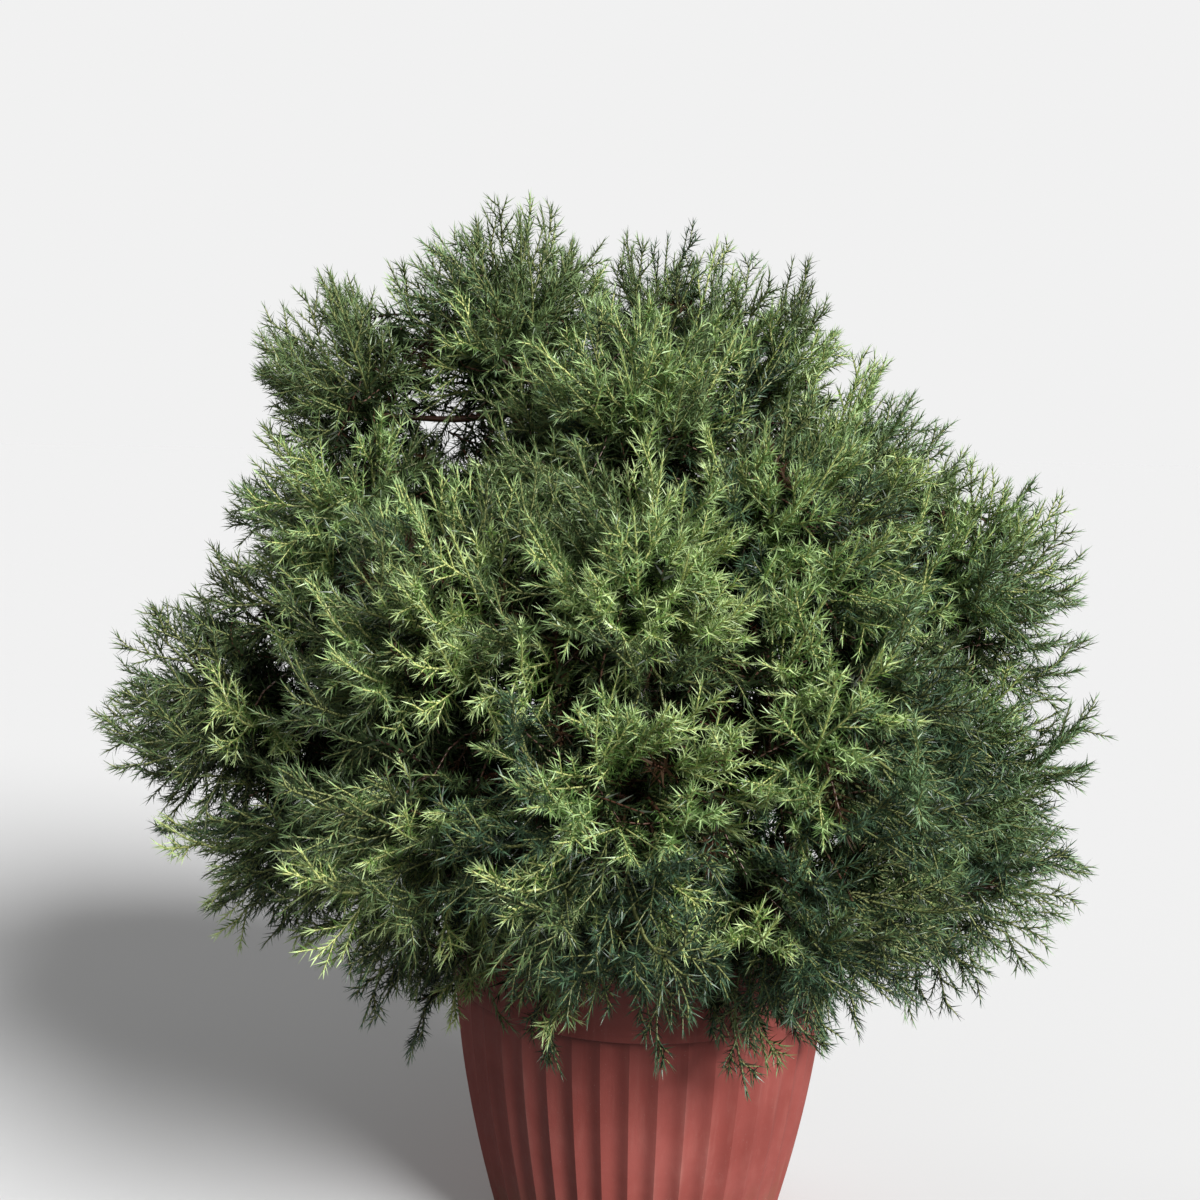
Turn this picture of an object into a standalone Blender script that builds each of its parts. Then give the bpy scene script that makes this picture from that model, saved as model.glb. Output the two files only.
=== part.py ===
"""A dwarf cedar shrub in a ribbed plastic patio pot.

Metres, +Z up. The origin is the centre of the pot's flat underside, and the
shrub's fullest, best side faces -Y. The crown is cut into masses of foliage
that meet face to face round a bare inside, where the boughs fan out from one
short stem.
"""

import math

import bpy
import numpy as np

for old in list(bpy.data.objects):
    bpy.data.objects.remove(old, do_unlink=True)

GAP = 0.0003                  # clearance between pieces that touch

# The pot: a foot, a fluted bowl that bellies out, a smooth rim band and a lip.
POT_HEIGHT = 0.400
FOOT_RADIUS = 0.176
FOOT_HEIGHT = 0.023
BOWL_FOOT_RADIUS = 0.179      # crest of the flutes, just over the foot
BOWL_TOP_RADIUS = 0.2285      # crest of the flutes, just under the band
BOWL_BELLY = 1.6              # above 1 the bowl bellies out
BAND_BOTTOM = 0.320
BAND_RADIUS = 0.2325
LIP_RADIUS = 0.240
LIP_HEIGHT = 0.014
WALL = 0.005
FLOOR = 0.006
FLUTES = 44
FLUTE_DEPTH = 0.0045

# The potting soil, and the stem that stands on it.
SOIL_TOP = 0.362
SOIL_SIDES = 44
STEM_SIDES = 12
STEM_RADIUS = 0.032
STEM_FLARE = 0.019            # how far the root flare widens the foot
STEM_ROOTS = 5                # swellings round the flare
STEM_STRAIGHT = 0.415         # the flare has run out at this height
STEM_TOP = 0.620

# The boughs, seated on the flats of the stem in four tiers and on its top.
TIERS = (0.437, 0.487, 0.537, 0.587)
BOUGH_SIDES = 6
BOUGH_STEPS = 5
BOUGH_BASE = 0.0115
BOUGH_TIP = 0.0055
BOUGH_RISE = 0.25             # rise over run where the lowest tier leaves the stem
BOUGH_STEEPER = 0.18          # added to that from each tier to the next
BOUGH_EASE = 0.33             # share of its span over which a bough bends at each end

# The crown.
HEART = (-0.02, -0.02, 0.66)  # the bare middle that the foliage stands round
MASS_SIDES = 12
MASS_RINGS = 7
HOLLOW = 0.72                 # a mass is cut flat this share of its girth inwards
SPREAD = 0.32                 # a mass is this much wider sideways than its girth
UNEVEN = 0.20                 # the swell of the lumps on a mass
LUMPS = 10
LUMP_POINT = 6                # the higher, the narrower a lump
RUGGED = 0.07                 # how much each point of the skin stands in or out
SEAM = 0.0004                 # between the masses that meet
RIM_CLEAR = 0.0010            # foliage over the pot lies this far off its rim
NEAR = 2.5                    # a mass has no seam with one further off than this many girths


def material(name, colour, roughness):
    made = bpy.data.materials.new(name)
    made.use_nodes = True
    shader = made.node_tree.nodes["Principled BSDF"]
    shader.inputs["Base Color"].default_value = (*colour, 1.0)
    shader.inputs["Roughness"].default_value = roughness
    shader.inputs["Metallic"].default_value = 0.0
    return made


POT_PLASTIC = material("brick_red_plastic", (0.300, 0.084, 0.068), 0.48)
SOIL_MIX = material("potting_soil", (0.035, 0.022, 0.014), 0.95)
BARK = material("red_brown_bark", (0.110, 0.052, 0.034), 0.90)
NEEDLES = material("green_needles", (0.052, 0.082, 0.030), 0.70)


def make_object(name, points, faces, finish, sharp_angle):
    """One named, closed piece, shaded smooth up to the given angle."""
    mesh = bpy.data.meshes.new(name)
    mesh.from_pydata([tuple(map(float, p)) for p in points], [], faces)
    mesh.materials.append(finish)
    mesh.validate()
    mesh.shade_smooth()
    mesh.set_sharp_from_angle(angle=math.radians(sharp_angle))
    piece = bpy.data.objects.new(name, mesh)
    bpy.context.collection.objects.link(piece)
    return piece


def skin(rings):
    """Points and faces of a closed skin over rings of equal count, with a cap on each end."""
    count = len(rings[0])
    points = [p for ring in rings for p in ring]
    faces = []
    for low in range(len(rings) - 1):
        a, b = low * count, (low + 1) * count
        for k in range(count):
            n = (k + 1) % count
            faces.append((a + k, a + n, b + n, b + k))
    faces.append(tuple(reversed(range(count))))
    start = (len(rings) - 1) * count
    faces.append(tuple(range(start, start + count)))
    return points, faces


def circle(radius, height, count):
    turn = 2.0 * math.pi / count
    return [(radius * math.cos(k * turn), radius * math.sin(k * turn), height) for k in range(count)]


# ---------------------------------------------------------------- the pot
def bowl_radius(height):
    """The bowl's outer radius at the crest of its flutes, and straight on above and below."""
    share = (height - FOOT_HEIGHT) / (BAND_BOTTOM - FOOT_HEIGHT)
    share = min(max(share, 0.0), 1.0)
    swell = 1.0 - (1.0 - share) ** BOWL_BELLY
    return BOWL_FOOT_RADIUS + (BOWL_TOP_RADIUS - BOWL_FOOT_RADIUS) * swell


def inner_radius(height):
    """The smooth inside of the pot, a wall's thickness behind the grooves."""
    return bowl_radius(height) - FLUTE_DEPTH - WALL


def fluted_ring(height):
    """Groove and crest by turns round the bowl, with a groove at the front."""
    crest = bowl_radius(height)
    ring = circle(crest, height, 2 * FLUTES)
    groove = (crest - FLUTE_DEPTH) / crest
    return [p if k % 2 == 1 else (p[0] * groove, p[1] * groove, p[2]) for k, p in enumerate(ring)]


def make_pot():
    around = 2 * FLUTES
    lip_bottom = POT_HEIGHT - LIP_HEIGHT
    bowl_heights = np.linspace(FOOT_HEIGHT, BAND_BOTTOM, 5)
    inner_heights = (POT_HEIGHT, SOIL_TOP, 0.5 * POT_HEIGHT, FLOOR)
    rings = [circle(FOOT_RADIUS, 0.0, around), circle(FOOT_RADIUS, FOOT_HEIGHT, around)]
    rings += [fluted_ring(h) for h in bowl_heights]
    rings += [circle(BAND_RADIUS, BAND_BOTTOM, around), circle(BAND_RADIUS, lip_bottom, around)]
    rings += [circle(LIP_RADIUS, lip_bottom, around), circle(LIP_RADIUS, POT_HEIGHT, around)]
    rings += [circle(inner_radius(h), h, around) for h in inner_heights]
    points, faces = skin(rings)
    make_object("pot", points, faces, POT_PLASTIC, 40)


def make_soil():
    """Soil fills the pot from its floor, and its top is flat round the stem."""
    heights = (FLOOR + GAP, 0.5 * POT_HEIGHT, SOIL_TOP)
    # The side is a polygon inside the pot's own polygon, so it clears the wall.
    apothem = math.cos(math.pi / (2 * FLUTES))
    rings = [circle(inner_radius(h) * apothem - 2.0 * GAP, h, SOIL_SIDES) for h in heights]
    points, faces = skin(rings)
    make_object("soil", points, faces, SOIL_MIX, 40)


# ---------------------------------------------------------------- the stem
def make_stem():
    """A short stem with a root flare, flat where the boughs are seated."""
    foot = SOIL_TOP + GAP
    rings = []
    for height in np.linspace(foot, STEM_STRAIGHT, 4):
        run_out = (STEM_STRAIGHT - height) / (STEM_STRAIGHT - foot)
        ring = circle(STEM_RADIUS, height, STEM_SIDES)
        swell = []
        for k, (x, y, z) in enumerate(ring):
            root = 0.75 + 0.25 * math.cos(STEM_ROOTS * 2.0 * math.pi * k / STEM_SIDES)
            wide = 1.0 + STEM_FLARE * root * run_out ** 2 / STEM_RADIUS
            swell.append((x * wide, y * wide, z))
        rings.append(swell)
    rings.append(circle(STEM_RADIUS, STEM_TOP, STEM_SIDES))
    points, faces = skin(rings)
    make_object("stem", points, faces, BARK, 50)


# ---------------------------------------------------------------- the crown
# Every mass: its middle, its girth on X, Y and Z, and the tips it reaches out to.
MASSES = {
    "foliage_crest": ((-0.010, -0.050, 1.000), (0.150, 0.140, 0.130), ((-0.030, -0.040, 1.130),)),
    "foliage_left_crest": (
        (-0.205, 0.080, 1.095),
        (0.125, 0.130, 0.130),
        ((-0.126, 0.100, 1.257), (-0.215, 0.090, 1.238), (-0.300, 0.070, 1.205)),
    ),
    "foliage_left_shoulder": (
        (-0.360, 0.040, 1.040),
        (0.090, 0.110, 0.105),
        ((-0.470, 0.050, 1.080), (-0.385, 0.060, 1.165)),
    ),
    "foliage_left_flank": (
        (-0.390, 0.020, 0.900),
        (0.105, 0.125, 0.105),
        ((-0.512, 0.040, 0.864), (-0.490, 0.030, 0.955)),
    ),
    "foliage_right_crest": (
        (0.050, 0.190, 1.085),
        (0.130, 0.120, 0.125),
        ((0.027, 0.200, 1.238), (0.078, 0.200, 1.228)),
    ),
    "foliage_right_peak": ((0.150, 0.110, 1.060), (0.062, 0.085, 0.120), ((0.186, 0.140, 1.206),)),
    "foliage_right_shoulder": (
        (0.255, 0.040, 0.950),
        (0.090, 0.110, 0.105),
        ((0.262, 0.050, 1.070), (0.359, 0.050, 0.990)),
    ),
    "foliage_right_brow": ((0.145, -0.190, 0.880), (0.135, 0.120, 0.130), ((0.200, -0.240, 0.960),)),
    "foliage_far_right": (
        (0.420, 0.050, 0.810),
        (0.095, 0.110, 0.120),
        ((0.440, 0.050, 0.944), (0.511, 0.050, 0.860), (0.541, 0.000, 0.771)),
    ),
    "foliage_right_side": (
        (0.385, -0.050, 0.600),
        (0.110, 0.135, 0.115),
        ((0.530, -0.040, 0.640), (0.520, -0.080, 0.570)),
    ),
    "foliage_right_skirt": (
        (0.370, -0.090, 0.440),
        (0.125, 0.120, 0.085),
        ((0.544, -0.050, 0.437), (0.476, -0.050, 0.322), (0.372, -0.100, 0.326)),
    ),
    "foliage_centre": ((-0.030, -0.280, 0.810), (0.150, 0.125, 0.135), ((-0.050, -0.390, 0.890),)),
    "foliage_front_left": ((-0.230, -0.230, 0.770), (0.135, 0.125, 0.130), ((-0.320, -0.310, 0.850),)),
    "foliage_front_right": ((0.185, -0.280, 0.700), (0.135, 0.130, 0.130), ((0.270, -0.360, 0.770),)),
    "foliage_front_low": ((-0.035, -0.375, 0.610), (0.145, 0.120, 0.125), ((-0.020, -0.500, 0.640),)),
    "foliage_front_low_left": ((-0.235, -0.300, 0.590), (0.130, 0.120, 0.120), ((-0.350, -0.390, 0.580),)),
    "foliage_front_low_right": ((0.150, -0.335, 0.515), (0.125, 0.120, 0.105), ((0.240, -0.440, 0.510),)),
    "foliage_front_skirt": ((-0.045, -0.300, 0.465), (0.130, 0.125, 0.080), ((-0.060, -0.430, 0.440),)),
    "foliage_left_lobe": (
        (-0.500, -0.040, 0.665),
        (0.120, 0.125, 0.100),
        ((-0.651, -0.050, 0.642), (-0.571, -0.050, 0.724)),
    ),
    "foliage_left_brow": ((-0.440, 0.000, 0.775), (0.095, 0.110, 0.080), ((-0.516, 0.000, 0.833),)),
    "foliage_left_low": (
        (-0.430, -0.090, 0.520),
        (0.125, 0.125, 0.100),
        ((-0.565, -0.090, 0.520), (-0.475, -0.100, 0.430)),
    ),
    "foliage_left_skirt": ((-0.270, -0.190, 0.450), (0.130, 0.120, 0.075), ((-0.390, -0.240, 0.430),)),
    "foliage_back_crest": ((-0.090, 0.270, 0.960), (0.150, 0.140, 0.140), ((-0.100, 0.370, 1.080),)),
    "foliage_back_left": ((-0.330, 0.230, 0.830), (0.150, 0.145, 0.140), ((-0.430, 0.330, 0.900),)),
    "foliage_back_right": ((0.240, 0.270, 0.850), (0.150, 0.140, 0.140), ((0.320, 0.370, 0.940),)),
    "foliage_back": ((-0.030, 0.380, 0.720), (0.155, 0.130, 0.140), ((-0.030, 0.520, 0.760),)),
    "foliage_back_low_left": ((-0.340, 0.230, 0.535), (0.150, 0.140, 0.125), ((-0.470, 0.300, 0.520),)),
    "foliage_back_low_right": ((0.330, 0.220, 0.580), (0.150, 0.140, 0.130), ((0.450, 0.290, 0.570),)),
    "foliage_back_low": ((-0.010, 0.340, 0.500), (0.150, 0.130, 0.105), ((-0.010, 0.480, 0.480),)),
}

# Thin pads of drooping shoots that hang outside the pot from the masses over its rim.
PADS = {
    "fringe_front": ((0.080, -0.285, 0.352), (0.110, 0.045, 0.055), ((0.108, -0.270, 0.285),)),
    "fringe_front_left": ((-0.110, -0.280, 0.360), (0.085, 0.045, 0.048), ((-0.090, -0.285, 0.318),)),
    "fringe_left": ((-0.275, -0.160, 0.345), (0.075, 0.060, 0.062), ((-0.245, -0.185, 0.272),)),
    "fringe_right": ((0.235, -0.155, 0.355), (0.055, 0.060, 0.050), ((0.206, -0.150, 0.280),)),
    "fringe_back": ((-0.020, 0.290, 0.355), (0.120, 0.045, 0.050), ((-0.040, 0.275, 0.300),)),
    "fringe_back_left": ((-0.250, 0.180, 0.360), (0.075, 0.055, 0.052), ((-0.270, 0.170, 0.304),)),
}


ASKEW = (0.31, 0.87, 0.38)    # a direction that no limb or mass runs along


def unit(vector):
    vector = np.asarray(vector, dtype=float)
    return vector / np.linalg.norm(vector)


def inner_wall(name):
    """The flat on a mass's inner side, as a point on it and the normal that leads inwards."""
    middle, girth, _ = MASSES[name]
    inwards = unit(np.subtract(HEART, middle))
    reach = HOLLOW * own_girth(girth, inwards)
    return np.asarray(middle) + inwards * reach, inwards


def own_girth(girth, direction):
    """How far an ellipsoid of this girth reaches in a direction."""
    return 1.0 / math.sqrt(sum((d / g) ** 2 for d, g in zip(direction, girth)))


def seams(name, group):
    """The flats where this mass meets the others: nobody's share passes its flat."""
    middle, girth, _ = group[name]
    mean = float(np.mean(girth))
    walls = []
    for other, (place, wide, _) in group.items():
        if other == name:
            continue
        apart = float(np.linalg.norm(np.subtract(place, middle)))
        theirs = float(np.mean(wide))
        share = (apart ** 2 + mean ** 2 - theirs ** 2) / (2.0 * apart)
        if share < NEAR * max(girth):
            outwards = unit(np.subtract(place, middle))
            walls.append((np.asarray(middle) + outwards * (share - 0.5 * SEAM), outwards))
    return walls


def round_directions(lead):
    """Directions over a ball whose first pole points along lead."""
    lead = unit(lead)
    side = unit(np.cross(lead, ASKEW))
    third = np.cross(lead, side)
    around = [2.0 * math.pi * k / MASS_SIDES for k in range(MASS_SIDES)]
    rings = []
    for step in range(1, MASS_RINGS + 1):
        lean = math.pi * step / (MASS_RINGS + 1)
        twist = 0.5 * (step % 2) * 2.0 * math.pi / MASS_SIDES
        rings.append([
            math.cos(lean) * lead + math.sin(lean) * (math.cos(a + twist) * side + math.sin(a + twist) * third)
            for a in around
        ])
    return lead, rings


def make_mass(name, shape, walls, seed):
    """One closed, uneven mass: lumps, drawn-out tips, and flats where it meets the rest."""
    middle, girth, tips = shape
    middle = np.asarray(middle, dtype=float)
    outwards = unit(middle - HEART)
    chance = np.random.default_rng(seed)
    lumps = [unit(v) for v in chance.normal(size=(LUMPS, 3))]
    swell = chance.uniform(-0.9, 1.0, size=LUMPS)

    def lumpy_girth(direction):
        lump = sum(s * max(0.0, float(np.dot(direction, v))) ** LUMP_POINT for s, v in zip(swell, lumps))
        sideways = 1.0 - float(np.dot(direction, outwards)) ** 2
        return own_girth(girth, direction) * (1.0 + UNEVEN * lump + SPREAD * sideways)

    def held_back(direction, reach):
        """The point this far out, or on the first of the flats in its way."""
        for point, normal in walls:
            facing = float(np.dot(direction, normal))
            if facing > 1e-6:
                reach = min(reach, float(np.dot(point - middle, normal)) / facing)
        return middle + direction * reach

    lead, rings = round_directions(np.subtract(tips[0], middle))
    directions = [lead] + [d for ring in rings for d in ring] + [-lead]
    rugged = chance.uniform(1.0 - RUGGED, 1.0 + RUGGED, size=len(directions))
    points = [held_back(d, r * lumpy_girth(d)) for d, r in zip(directions, rugged)]
    # The skin's nearest point is drawn out to each tip.
    for tip in tips:
        towards = np.subtract(tip, middle)
        nearest = int(np.argmax([float(np.dot(d, unit(towards))) for d in directions]))
        points[nearest] = held_back(unit(towards), float(np.linalg.norm(towards)))

    faces = []
    last = len(points) - 1
    for k in range(MASS_SIDES):
        n = (k + 1) % MASS_SIDES
        faces.append((0, 1 + k, 1 + n))
        faces.append((last, last - MASS_SIDES + n, last - MASS_SIDES + k))
    for step in range(MASS_RINGS - 1):
        a, b = 1 + step * MASS_SIDES, 1 + (step + 1) * MASS_SIDES
        for k in range(MASS_SIDES):
            n = (k + 1) % MASS_SIDES
            if step % 2 == 0:
                faces += [(a + k, b + k, b + n), (a + k, b + n, a + n)]
            else:
                faces += [(a + k, b + k, a + n), (a + n, b + k, b + n)]
    make_object(name, points, faces, NEEDLES, 75)


def over_the_rim():
    """The level flat that keeps a mass off the pot's rim."""
    return np.array((0.0, 0.0, POT_HEIGHT + RIM_CLEAR)), np.array((0.0, 0.0, -1.0))


def beside_the_pot(middle):
    """The upright flat that keeps a mass or pad outside the pot's lip."""
    inwards = -unit((middle[0], middle[1], 0.0))
    return -inwards * (LIP_RADIUS + RIM_CLEAR), inwards


OUTSIDE = ("foliage_right_skirt", "foliage_left_low")   # these hang past the rim


def make_crown():
    for seed, (name, shape) in enumerate(MASSES.items()):
        walls = seams(name, MASSES)
        walls.append(inner_wall(name))
        if name in OUTSIDE:
            walls += seams(name, {**PADS, name: shape})
            walls.append(beside_the_pot(shape[0]))
        else:
            walls.append(over_the_rim())
        make_mass(name, shape, walls, seed)
    under = np.array((0.0, 0.0, POT_HEIGHT + RIM_CLEAR - SEAM)), np.array((0.0, 0.0, 1.0))
    hung_low = {name: MASSES[name] for name in OUTSIDE}
    for seed, (name, shape) in enumerate(PADS.items(), start=len(MASSES)):
        walls = seams(name, {**PADS, **hung_low})
        walls += [under, beside_the_pot(shape[0])]
        make_mass(name, shape, walls, seed)


# ---------------------------------------------------------------- the boughs
# Every bough: its tier, the flat of the stem it is seated on, and the mass it enters.
BOUGHS = {
    "bough_back_low_right": (0, 15, "foliage_back_low_right"),
    "bough_back_low": (0, 75, "foliage_back_low"),
    "bough_back_low_left": (0, 135, "foliage_back_low_left"),
    "bough_left_low": (0, 195, "foliage_left_low"),
    "bough_front_skirt": (0, 255, "foliage_front_skirt"),
    "bough_front_low_right": (0, 315, "foliage_front_low_right"),
    "bough_back": (1, 105, "foliage_back"),
    "bough_left_brow": (1, 165, "foliage_left_brow"),
    "bough_front_low_left": (1, 225, "foliage_front_low_left"),
    "bough_right_side": (1, 345, "foliage_right_side"),
    "bough_far_right": (2, 15, "foliage_far_right"),
    "bough_back_left": (2, 135, "foliage_back_left"),
    "bough_centre": (2, 255, "foliage_centre"),
    "bough_front_right": (2, 315, "foliage_front_right"),
    "bough_back_right": (3, 45, "foliage_back_right"),
    "bough_left_crest": (3, 165, "foliage_left_crest"),
    "bough_front_left": (3, 225, "foliage_front_left"),
    "bough_right_shoulder": (3, 345, "foliage_right_shoulder"),
}


def make_bough(name, start, start_normal, leave, mass):
    """A tapering limb from its flat seat on the stem to the inner flat of its mass."""
    wall_point, inwards = inner_wall(mass)
    end = wall_point + inwards * GAP
    span = float(np.linalg.norm(end - start))
    bend_1 = start + unit(leave) * BOUGH_EASE * span
    bend_2 = end + inwards * BOUGH_EASE * span
    rings = []
    for step in range(BOUGH_STEPS + 1):
        t = step / BOUGH_STEPS
        s = 1.0 - t
        at = s ** 3 * start + 3 * s * s * t * bend_1 + 3 * s * t * t * bend_2 + t ** 3 * end
        along = unit(s * s * (bend_1 - start) + 2 * s * t * (bend_2 - bend_1) + t * t * (end - bend_2))
        side = unit(np.cross(along, ASKEW))
        third = np.cross(along, side)
        radius = BOUGH_BASE + (BOUGH_TIP - BOUGH_BASE) * t
        ring = []
        for k in range(BOUGH_SIDES):
            turn = 2.0 * math.pi * k / BOUGH_SIDES
            point = at + radius * (math.cos(turn) * side + math.sin(turn) * third)
            if step in (0, BOUGH_STEPS):
                flat, normal = (start, start_normal) if step == 0 else (end, inwards)
                point = point + along * float(np.dot(flat - point, normal)) / float(np.dot(along, normal))
            ring.append(point)
        rings.append(ring)
    points, faces = skin(rings)
    make_object(name, points, faces, BARK, 50)


def make_boughs():
    seat_radius = STEM_RADIUS * math.cos(math.pi / STEM_SIDES) + GAP
    for name, (tier, azimuth, mass) in BOUGHS.items():
        turn = math.radians(azimuth)
        outwards = np.array((math.cos(turn), math.sin(turn), 0.0))
        start = outwards * seat_radius + np.array((0.0, 0.0, TIERS[tier]))
        rise = BOUGH_RISE + BOUGH_STEEPER * tier
        make_bough(name, start, outwards, outwards + np.array((0.0, 0.0, rise)), mass)
    top = np.array((0.0, 0.0, STEM_TOP + GAP))
    up = np.array((0.0, 0.0, 1.0))
    make_bough("bough_leader", top, up, up, "foliage_crest")


make_pot()
make_soil()
make_stem()
make_crown()
make_boughs()
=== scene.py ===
"""A dwarf cedar shrub in a ribbed plastic patio pot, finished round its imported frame."""
import math

import bpy
import bmesh
import numpy as np
from numpy.linalg import norm
from mathutils import Matrix, Vector, noise
from mathutils.bvhtree import BVHTree


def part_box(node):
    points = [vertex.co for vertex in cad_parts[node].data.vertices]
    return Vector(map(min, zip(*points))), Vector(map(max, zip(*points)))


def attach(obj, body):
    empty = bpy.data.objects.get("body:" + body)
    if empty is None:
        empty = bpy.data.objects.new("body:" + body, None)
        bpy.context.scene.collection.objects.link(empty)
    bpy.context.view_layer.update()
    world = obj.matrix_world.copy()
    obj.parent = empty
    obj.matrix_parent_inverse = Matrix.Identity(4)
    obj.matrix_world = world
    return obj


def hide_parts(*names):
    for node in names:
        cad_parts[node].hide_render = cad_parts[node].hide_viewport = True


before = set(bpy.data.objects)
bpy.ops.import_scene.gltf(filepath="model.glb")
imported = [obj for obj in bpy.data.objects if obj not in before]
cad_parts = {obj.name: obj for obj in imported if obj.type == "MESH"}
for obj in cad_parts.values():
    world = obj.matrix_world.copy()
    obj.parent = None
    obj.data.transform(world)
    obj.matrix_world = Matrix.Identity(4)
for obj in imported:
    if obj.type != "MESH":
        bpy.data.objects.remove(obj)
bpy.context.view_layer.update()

collection = bpy.context.scene.collection


# -------------------- camera
# The shrub is seen from the front and from a little above its middle, so the
# rim of the pot is looked down on, and the foot is just below the picture.
CAMERA_AT = (-0.058, -1.696, 0.985)
CAMERA_DOWN = math.radians(7.0)
CAMERA_ROLL = math.radians(1.1)
CAMERA_FIELD = math.radians(46.0)

camera = bpy.data.objects.new("camera", bpy.data.cameras.new("camera"))
tilt = Matrix.Rotation(math.radians(90.0) - CAMERA_DOWN, 4, "X")
camera.matrix_world = Matrix.Translation(CAMERA_AT) @ tilt @ Matrix.Rotation(CAMERA_ROLL, 4, "Z")
camera.data.angle = CAMERA_FIELD
camera.data.clip_start = 0.05
camera.data.clip_end = 50.0
collection.objects.link(camera)
bpy.context.scene.camera = camera


# -------------------- pot
# The pot is moulded in one piece from brick-red plastic: a foot, a bowl with
# shallow flutes, a smooth rim band that stands proud of them, and a rolled lip.
POT_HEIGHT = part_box("pot")[1].z
LIP_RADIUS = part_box("pot")[1].x
FOOT_RADIUS = 0.176
FOOT_HEIGHT = 0.023
BOWL_FOOT_RADIUS = 0.179
BOWL_TOP_RADIUS = 0.2285
BOWL_BELLY = 1.6
BAND_BOTTOM = 0.320
BAND_RADIUS = 0.2325
LIP_HEIGHT = 0.014
WALL = 0.005
FLOOR = 0.006
FLUTES = 44
FLUTE_DEPTH = 0.0045
FLUTE_POWER = 1.2
STEPS_PER_FLUTE = 10


def srgb(red, green, blue):
    """A colour as the eye sees it, 0 to 255 a channel, in the linear values a shader takes."""
    shares = [channel / 255.0 for channel in (red, green, blue)]
    return (*[s / 12.92 if s <= 0.04045 else ((s + 0.055) / 1.055) ** 2.4 for s in shares], 1.0)


def link_piece(name, mesh):
    piece = bpy.data.objects.new(name, mesh)
    collection.objects.link(piece)
    return piece


def add_node(group, kind, inputs=(), **settings):
    """A node with its settings, and its inputs either linked or given a value."""
    made = group.nodes.new(kind)
    for name, value in settings.items():
        setattr(made, name, value)
    for key, value in dict(inputs).items():
        if isinstance(value, bpy.types.NodeSocket):
            group.links.new(value, made.inputs[key])
        else:
            made.inputs[key].default_value = value
    return made


class Nodes:
    """Short ways to add the nodes that geometry and materials share."""

    def shader(self, kind, inputs=(), **settings):
        return add_node(self.group, "ShaderNode" + kind, inputs, **settings)

    def math(self, operation, *terms):
        return self.shader("Math", enumerate(terms), operation=operation).outputs[0]

    def times(self, *terms):
        return self.math("MULTIPLY", *terms)


class Tree(Nodes):
    """A geometry node tree, its inputs by name."""

    def __init__(self, name, floats, whole=()):
        self.group = bpy.data.node_groups.new(name, "GeometryNodeTree")
        face = self.group.interface
        face.new_socket("Geometry", in_out="INPUT", socket_type="NodeSocketGeometry")
        for kind, labels in (("Float", floats), ("Int", whole)):
            for label in labels:
                face.new_socket(label, in_out="INPUT", socket_type="NodeSocket" + kind)
        face.new_socket("Geometry", in_out="OUTPUT", socket_type="NodeSocketGeometry")
        self.given = self.group.nodes.new("NodeGroupInput").outputs

    def node(self, kind, inputs=(), **settings):
        return add_node(self.group, "GeometryNode" + kind, inputs, **settings)

    def first(self, kind, inputs=(), **settings):
        return self.node(kind, inputs, **settings).outputs[0]

    def function(self, kind, inputs=(), **settings):
        return add_node(self.group, "FunctionNode" + kind, inputs, **settings)

    def store(self, geometry, name, value, data_type):
        inputs = {"Geometry": geometry, "Name": name, "Value": value}
        return self.node("StoreNamedAttribute", inputs, data_type=data_type, domain="POINT").outputs[0]

    def named(self, name, data_type):
        return self.node("InputNamedAttribute", {"Name": name}, data_type=data_type).outputs[0]

    def finish(self, geometry, finishes, tone=None):
        """Realize Instances, then a Set Material for each finish, picked by its tone number."""
        made = self.node("RealizeInstances", {"Geometry": geometry}).outputs[0]
        for number, finish in enumerate(finishes):
            inputs = {"Geometry": made, "Material": finish}
            if tone is not None:
                same = self.function("Compare", {2: tone, 3: number}, data_type="INT", operation="EQUAL")
                inputs["Selection"] = same.outputs[0]
            made = self.node("SetMaterial", inputs).outputs[0]
        add_node(self.group, "NodeGroupOutput", {0: made})
        return self.group


def line_mesh(name, lines, marks):
    """A mesh of loose lines for a tree to read: lines is (count, points, 3), with marks on each point."""
    count, steps = lines.shape[:2]
    mesh = bpy.data.meshes.new(name)
    mesh.vertices.add(count * steps)
    mesh.vertices.foreach_set("co", lines.reshape(-1).astype(np.float32))
    first = np.arange(count * steps).reshape(count, steps)[:, :-1].reshape(-1)
    mesh.edges.add(len(first))
    mesh.edges.foreach_set("vertices", np.stack((first, first + 1), axis=1).reshape(-1))
    for mark, values in marks.items():
        kind = "INT" if values.dtype.kind == "i" else "FLOAT"
        held = mesh.attributes.new(mark, kind, "POINT")
        held.data.foreach_set("value", values.reshape(-1))
    return mesh


def through(tree, name, source, values, keep=()):
    """Runs a mesh through a node tree, and gives the result as a plain piece."""
    carrier = link_piece(name + "_lines", source)
    modifier = carrier.modifiers.new("nodes", "NODES")
    modifier.node_group = tree
    for item in tree.interface.items_tree:
        if item.in_out == "INPUT" and item.name in values:
            modifier[item.identifier] = values[item.name]
    evaluated = carrier.evaluated_get(bpy.context.evaluated_depsgraph_get())
    mesh = bpy.data.meshes.new_from_object(evaluated)
    carrier.modifiers.remove(modifier)
    bpy.data.objects.remove(carrier)
    for mark in [a.name for a in mesh.attributes if not a.is_required and not a.is_internal]:
        if mark not in keep and mark not in ("material_index", "sharp_face", "sharp_edge"):
            mesh.attributes.remove(mesh.attributes[mark])
    return link_piece(name, mesh)


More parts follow.
